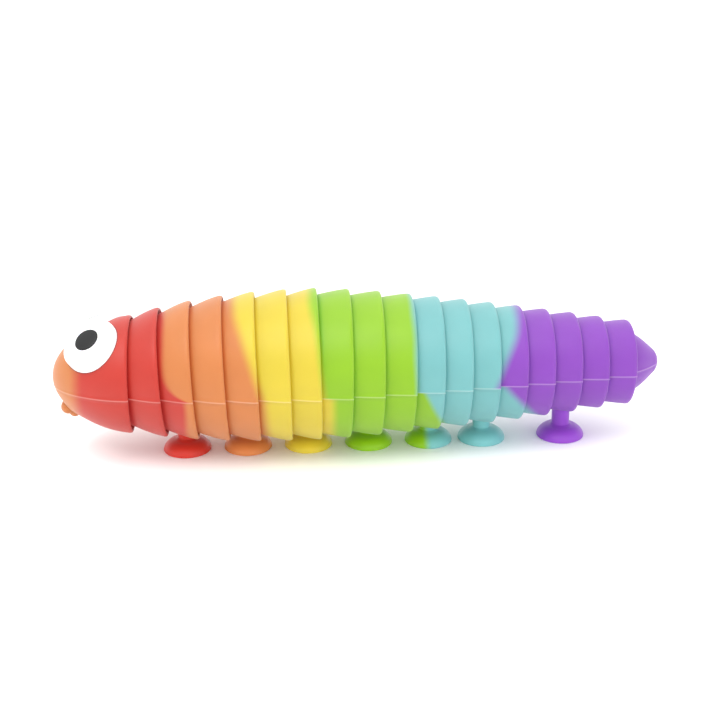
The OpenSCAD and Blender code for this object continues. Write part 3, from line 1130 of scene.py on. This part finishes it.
@dataclass
class Eye:
    """A shallow white dome set on the head, with a black pupil let into it."""

    form: BodyForm
    side: int
    radius: float = 8.4
    dome: float = 2.2
    seat: float = 0.7
    pupil_radius: float = 3.65
    pupil_depth: float = 1.0
    tilt_degrees: float = 37.0
    turn_degrees: float = 52.0
    behind_nose: float = 12.6
    beside: float = 7.6
    height: float = 38.0
    edge_round: float = 0.55
    # The two eyes stop this far short of the middle plane, and of the head's rim
    middle_gap: float = 0.05
    rim_gap: float = 0.6

    @property
    def name(self) -> str:
        """Left or right, as the grub sees it."""
        return "left" if self.side > 0 else "right"

    @property
    def centre(self) -> tuple[float, float, float]:
        """Middle of the dome's edge."""
        return (self.form.nose_x + self.behind_nose, self.side * self.beside, self.height)

    @property
    def normal(self) -> tuple[float, float, float]:
        """Finds which way the pole faces.

        Returns:
            The direction, of length 1.
        """
        tilt, turn = math.radians(self.tilt_degrees), math.radians(self.turn_degrees)
        flat = math.sin(tilt)
        return (-flat * math.cos(turn), self.side * flat * math.sin(turn), math.cos(tilt))

    def axes(self) -> tuple[np.ndarray, np.ndarray, np.ndarray]:
        """Finds two directions across the eye.

        Returns:
            The two directions and the normal.
        """
        normal = np.array(self.normal)
        across = np.cross([0.0, 0.0, 1.0], normal)
        across /= np.linalg.norm(across)
        return across, np.cross(normal, across), normal

    @property
    def ball(self) -> float:
        """Radius of the sphere that the dome is part of."""
        return (self.radius**2 + self.dome**2) / (2 * self.dome)

    def dome_height(self, radius: float, ball_extra: float = 0.0) -> float:
        """Height of the dome over its edge at a distance from the pole."""
        ball = self.ball + ball_extra
        return math.sqrt(ball**2 - radius**2) - (self.ball - self.dome)

    def ring(self, radius: float, height: float, count: int = 72) -> np.ndarray:
        """Gives a circle round the eye's normal, kept on the eye's own side of the middle plane.

        Args:
            radius: radius of the circle.
            height: height over the plane of the dome's edge.
            count: number of points.

        Returns:
            An array of points.
        """
        across, along, normal = self.axes()
        turn = np.linspace(0, 2 * math.pi, count, endpoint=False)[:, None]
        points = (np.array(self.centre) + radius * (np.cos(turn) * across + np.sin(turn) * along)
                  + height * normal)
        points[:, 1] = self.side * np.maximum(points[:, 1] * self.side, self.middle_gap)
        return points

    def seat_row(self, radius: float, head: Head) -> np.ndarray:
        """Gives a row of the eye's back, which follows the head's skin a little below its surface.

        Args:
            radius: distance from the eye's normal.
            head: the head that the eye sits on.

        Returns:
            An array of points.
        """
        row = self.ring(radius, 0)
        normal = np.array(self.normal)
        for i, point in enumerate(row):
            # Halve the stretch along the normal until it ends at the seat
            low, high = -7.0, 3.0
            for _ in range(24):
                middle = (low + high) / 2
                if head.outside(point + middle * normal) > -self.seat:
                    high = middle
                else:
                    low = middle
            row[i] = point + low * normal
        row[:, 1] = self.side * np.maximum(row[:, 1] * self.side, self.middle_gap)
        row[:, 0] = np.minimum(row[:, 0], self.form.rim_x[0] - self.rim_gap)
        return row

    def build(self, head: Head, finishes: Finishes) -> None:
        """Makes the dome and its pupil.

        Args:
            head: the head that the eye sits on.
            finishes: the built materials.
        """
        grid = Grid()
        inner = self.radius - self.edge_round
        floor = self.dome - self.pupil_depth
        rows: list[Row] = [
            [np.array(self.centre) + floor * np.array(self.normal)],
            self.ring(self.pupil_radius, floor),
            self.ring(self.pupil_radius, self.dome_height(self.pupil_radius) - 0.08),
            self.ring(self.pupil_radius + 0.12, self.dome_height(self.pupil_radius + 0.12)),
        ]
        for radius in np.linspace(self.pupil_radius + 0.6, inner, 9):
            rows.append(self.ring(float(radius), self.dome_height(float(radius))))
        for angle in (0.4, 0.8, 1.2, math.pi / 2):
            rows.append(self.ring(
                inner + self.edge_round * math.sin(angle),
                self.dome_height(inner) - self.edge_round * (1 - math.cos(angle)),
            ))
        for share in (1.0, 0.8, 0.6, 0.4, 0.2):
            rows.append(self.seat_row(self.radius * share, head))
        rows.append([self.seat_row(0.001, head)[0]])
        grid.loft(rows)
        piece = grid.finish(f"eye_{self.name}_dome", finishes.eye, 60)
        place(piece, "head_body", "eye_white", f"eye_{self.name}")
        self.build_pupil(finishes)

    def build_pupil(self, finishes: Finishes) -> None:
        """Makes the pupil as a small lens that stands a little proud.

        Args:
            finishes: the built materials.
        """
        grid = Grid()
        proud = 0.15
        count = 56
        normal = np.array(self.normal)
        floor = self.dome - self.pupil_depth + 0.02
        fit = self.pupil_radius - 0.03
        rows: list[Row] = [
            [np.array(self.centre) + floor * normal],
            self.ring(fit, floor, count),
            self.ring(fit, self.dome_height(fit) + 0.02, count),
        ]
        for radius in (fit - 0.12, 3.1, 2.5, 1.7, 0.8):
            rows.append(self.ring(radius, self.dome_height(radius, proud), count))
        rows.append([np.array(self.centre) + (self.dome + proud) * normal])
        grid.loft(rows)
        piece = grid.finish(f"pupil_{self.name}_lens", finishes.pupil, 60)
        place(piece, "head_body", "pupil_black", f"pupil_{self.name}")


# ---------------------------------------------------------------- tail


@dataclass
class Tail:
    """The cone that closes the last ring, with the lugs for the last link."""

    form: BodyForm
    tip_ball: float = 5.2
    fullness: float = 0.5
    wall: float = 1.2
    floor_radius: float = 5.6

    def row(self, x: float, radius: float, flash: float = 0.0) -> np.ndarray:
        """Gives the points of one closed section round the pivot line.

        Args:
            x: place along the body.
            radius: radius of the section.
            flash: height of the flash at the parting plane.

        Returns:
            An array of points.
        """
        turn = self.form.columns(0.0, max(radius, 0.5))
        swollen = radius + flash * self.form.flash()
        return np.stack([
            np.full_like(turn, x), swollen * np.sin(turn), self.form.parting_z + swollen * np.cos(turn),
        ], 1)

    def build(self, finishes: Finishes) -> None:
        """Makes the tail and rides it on its body.

        Args:
            finishes: the built materials.
        """
        form = self.form
        start = form.rim_x[RING_COUNT]
        radius = form.radius[RING_COUNT] - form.tail_step
        plate = form.pivot_x[RING_COUNT] + form.plate_gap
        ridge = form.flash_height
        front = start - form.tail_tuck
        rows: list[Row] = [
            [(plate, 0, form.parting_z)],
            self.row(plate, self.floor_radius - 0.3),
            self.row(plate - 0.4, self.floor_radius),
            self.row(front + 0.3, radius - 1 - self.wall + 0.3),
            self.row(front, radius - 1 - self.wall + 0.6),
            self.row(front, radius - 1.3),
            self.row(front + 0.3, radius - 0.95, ridge),
            self.row(start, radius, ridge),
        ]
        # The cone runs into a round tip without a corner
        slope = math.atan2(radius - self.tip_ball * 0.8, form.tail_x - start - self.tip_ball * 0.4)
        ball_x = form.tail_x - self.tip_ball
        join_x = ball_x + self.tip_ball * math.sin(slope)
        join_radius = self.tip_ball * math.cos(slope)
        for share in (0.12, 0.3, 0.5, 0.7, 0.88, 1):
            bulge = self.fullness * math.sin(math.pi * share)
            rows.append(self.row(start + (join_x - start) * share,
                                 radius + (join_radius - radius) * share + bulge, ridge))
        for share in np.linspace(0, 1, 9)[1:-1]:
            angle = slope + (math.pi / 2 - slope) * share
            rows.append(self.row(ball_x + self.tip_ball * math.sin(angle), self.tip_ball * math.cos(angle),
                                 ridge * (1 - share)))
        rows.append([(form.tail_x, 0, form.parting_z)])
        grid = Grid()
        grid.loft(rows)
        add_arms(grid, form, form.pivot_x[RING_COUNT], upright=False, toward=1)
        piece = grid.finish("tail_silicone", finishes.body)
        place(piece, "tail_body", Pour.PURPLE.slot, "tail")


# ---------------------------------------------------------------- suction cups


@dataclass
class SuctionCup:
    """One bell-shaped cup on a short stem that runs up into the belly."""

    form: BodyForm
    number: int
    ring: int
    radius: float = 7.25
    bell: float = 3.6
    hollow: float = 2.3
    stem: float = 2.7
    bead: float = 0.35
    columns: int = 64

    def build(self, finishes: Finishes) -> None:
        """Makes the cup and rides it on its ring's body.

        Args:
            finishes: the built materials.
        """
        node = f"suction_cup_{self.number}"
        low, high = self.form.node_box(node)
        centre = (low[0] + high[0]) / 2
        segment = Segment(self.form, self.ring)
        turn = np.linspace(0, 2 * math.pi, self.columns, endpoint=False)

        def circle(radius: float, z: float | np.ndarray) -> np.ndarray:
            """Points of a circle round the cup's own upright axis."""
            return np.stack([centre + radius * np.cos(turn), radius * np.sin(turn),
                             np.broadcast_to(z, turn.shape)], 1)

        rows: list[Row] = [[(centre, 0, self.hollow)]]
        seal = self.radius - 0.9
        for angle in np.linspace(80, 0, 9):
            a = math.radians(angle)
            ripple = 0.06 * math.sin(angle / 8)
            rows.append(circle(seal * math.cos(a), self.hollow * math.sin(a) + ripple * math.sin(a)))
        bead_radius = self.radius - self.bead
        rows.append(circle(bead_radius, 0.0))
        for angle in (-60, -20, 20, 60):
            a = math.radians(angle)
            rows.append(circle(bead_radius + self.bead * math.cos(a), self.bead * (1 + math.sin(a))))
        for angle in np.linspace(12, 84, 10):
            a = math.radians(angle)
            rows.append(circle(
                self.stem + 0.25 + (self.radius - 0.3 - self.stem) * math.cos(a) ** 0.95,
                0.55 + (self.bell - 0.55) * math.sin(a) ** 1.3,
            ))
        # The stem's top follows the slope of the belly that it grows out of
        form, k = self.form, self.ring
        rear = form.parting_z - form.belly_drop(k)
        front = form.parting_z - form.belly_drop(k - 1) + form.step_at(k - 1)
        slope = (front - rear) / segment.pitch
        belly = rear + (form.rim_x[k] - centre - self.stem * np.cos(turn)) * slope
        rows.append(circle(self.stem, self.bell + 0.5))
        rows.append(circle(self.stem, belly - 0.7))
        rows.append(circle(self.stem + 0.25, belly - 0.2))
        rows.append(circle(self.stem + 0.3, belly + 0.25))
        rows.append([(centre, 0, float(belly.mean()) + 0.35)])
        grid = Grid()
        grid.loft(rows)
        piece = grid.finish(f"{node}_silicone", finishes.cup)
        place(piece, f"segment_ring_{k:02d}", pour_of(k).slot, node)


# ---------------------------------------------------------------- studio


@dataclass(frozen=True)
class Studio:
    """Pale floor, soft light and the camera. Sizes are in metres, angles in degrees."""

    azimuth: float = -3.7
    elevation: float = 21.2
    roll: float = -0.67
    distance: float = 0.404
    target: tuple[float, float, float] = (0.00025, 0.0, 0.027)
    lens_mm: float = 67.35
    floor_half: float = 6.0
    surround: float = 1.25

    def camera(self) -> None:
        """Makes the camera and points it at the body."""
        a, e, r = (math.radians(v) for v in (self.azimuth, self.elevation, self.roll))
        back = Vector((math.sin(a) * math.cos(e), -math.cos(a) * math.cos(e), math.sin(e)))
        right = Vector((math.cos(a), math.sin(a), 0))
        up = back.cross(right)
        turned_right = right * math.cos(r) + up * math.sin(r)
        turned_up = up * math.cos(r) - right * math.sin(r)
        data = bpy.data.cameras.new("camera")
        data.lens = self.lens_mm
        data.sensor_width = 36
        data.clip_start = 0.01
        camera = bpy.data.objects.new("camera", data)
        turn = Matrix((turned_right, turned_up, back)).transposed().to_4x4()
        camera.matrix_world = Matrix.Translation(Vector(self.target) + back * self.distance) @ turn
        bpy.context.scene.collection.objects.link(camera)
        bpy.context.scene.camera = camera

    def floor(self) -> None:
        """Makes a large pale floor with a matt paper finish."""
        half = self.floor_half
        mesh = bpy.data.meshes.new("floor")
        corners = [(-half, -half, 0), (half, -half, 0), (half, half, 0), (-half, half, 0)]
        mesh.from_pydata(corners, [], [(0, 1, 2, 3)])
        floor = bpy.data.objects.new("floor", mesh)
        bpy.context.scene.collection.objects.link(floor)
        material, _, shader = blank_material("matt_paper")
        shader.inputs["Base Color"].default_value = linear("#FCFCFC")
        shader.inputs["Roughness"].default_value = 0.9
        shader.inputs["Specular IOR Level"].default_value = 0.1
        mesh.materials.append(material)

    def lamp(self, name: str, place_m: tuple[float, float, float], size: float, power: float) -> None:
        """Adds a square soft lamp that faces the body.

        Args:
            name: name of the lamp.
            place_m: where it hangs.
            size: side of the lamp.
            power: its power in watts.
        """
        data = bpy.data.lights.new(name, "AREA")
        data.size = size
        data.energy = power
        lamp = bpy.data.objects.new(name, data)
        lamp.location = place_m
        aim = Vector(self.target) - Vector(place_m)
        lamp.rotation_euler = aim.to_track_quat("-Z", "Y").to_euler()
        bpy.context.scene.collection.objects.link(lamp)

    def light(self) -> None:
        """Sets a bright white surround and three soft lamps."""
        world = bpy.data.worlds.new("studio")
        world.use_nodes = True
        background = world.node_tree.nodes["Background"]
        background.inputs[0].default_value = (1.0, 1.0, 1.0, 1.0)
        background.inputs[1].default_value = self.surround
        bpy.context.scene.world = world
        self.lamp("key", (-0.25, -0.35, 0.75), 0.5, 3.4)
        self.lamp("top", (0.1, 0.15, 0.9), 0.7, 1.2)
        self.lamp("fill", (0.5, -0.7, 0.35), 0.6, 0.8)
        bpy.context.scene.view_settings.view_transform = "Standard"

    def build(self) -> None:
        """Sets up camera, floor and light."""
        self.camera()
        self.floor()
        self.light()


def main() -> None:
    """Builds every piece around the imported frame."""
    logging.basicConfig(level=logging.INFO, format="%(message)s")
    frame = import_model()
    form = BodyForm()
    form.read(frame["joints"])
    eyes = [Eye(form, 1), Eye(form, -1)]
    finishes = Finishes(
        body=MouldedSilicone("tie_dyed_silicone", BODY_EDGES, form.parting_z, eye=eyes[0]).build(),
        # The cups' lift is partly painted light against the belly's shade
        cup=MouldedSilicone("suction_silicone", CUP_EDGES, form.parting_z, roughness=0.4, pale_and_painted_lift=1.5).build(),
        eye=SmoothRubber("white_silicone", "#FBFBFB", 0.35, 0.1).build(),
        pupil=SmoothRubber("black_silicone", "#161717", 0.5, 0.0).build(),
        link=MouldedAcetal().build(),
    )
    head = Head(form)
    head.build(finishes)
    for eye in eyes:
        eye.build(head, finishes)
    for k in range(1, RING_TAIL):
        Segment(form, k).build(finishes)
    Tail(form).build(finishes)
    for body, nodes in frame["record"]["behaviour"]["bodies"].items():
        for cup in (n for n in nodes if n.startswith("suction_cup")):
            SuctionCup(form, int(cup[-1]), int(body[-2:])).build(finishes)
    for name, node in frame["nodes"].items():
        if name.startswith("link"):
            node.data.materials.clear()
            node.data.materials.append(finishes.link)
            LOG.info("%s keeps its CAD shape, %d faces", name, len(node.data.polygons))
    Studio().build()


if __name__ == "__main__":
    main()
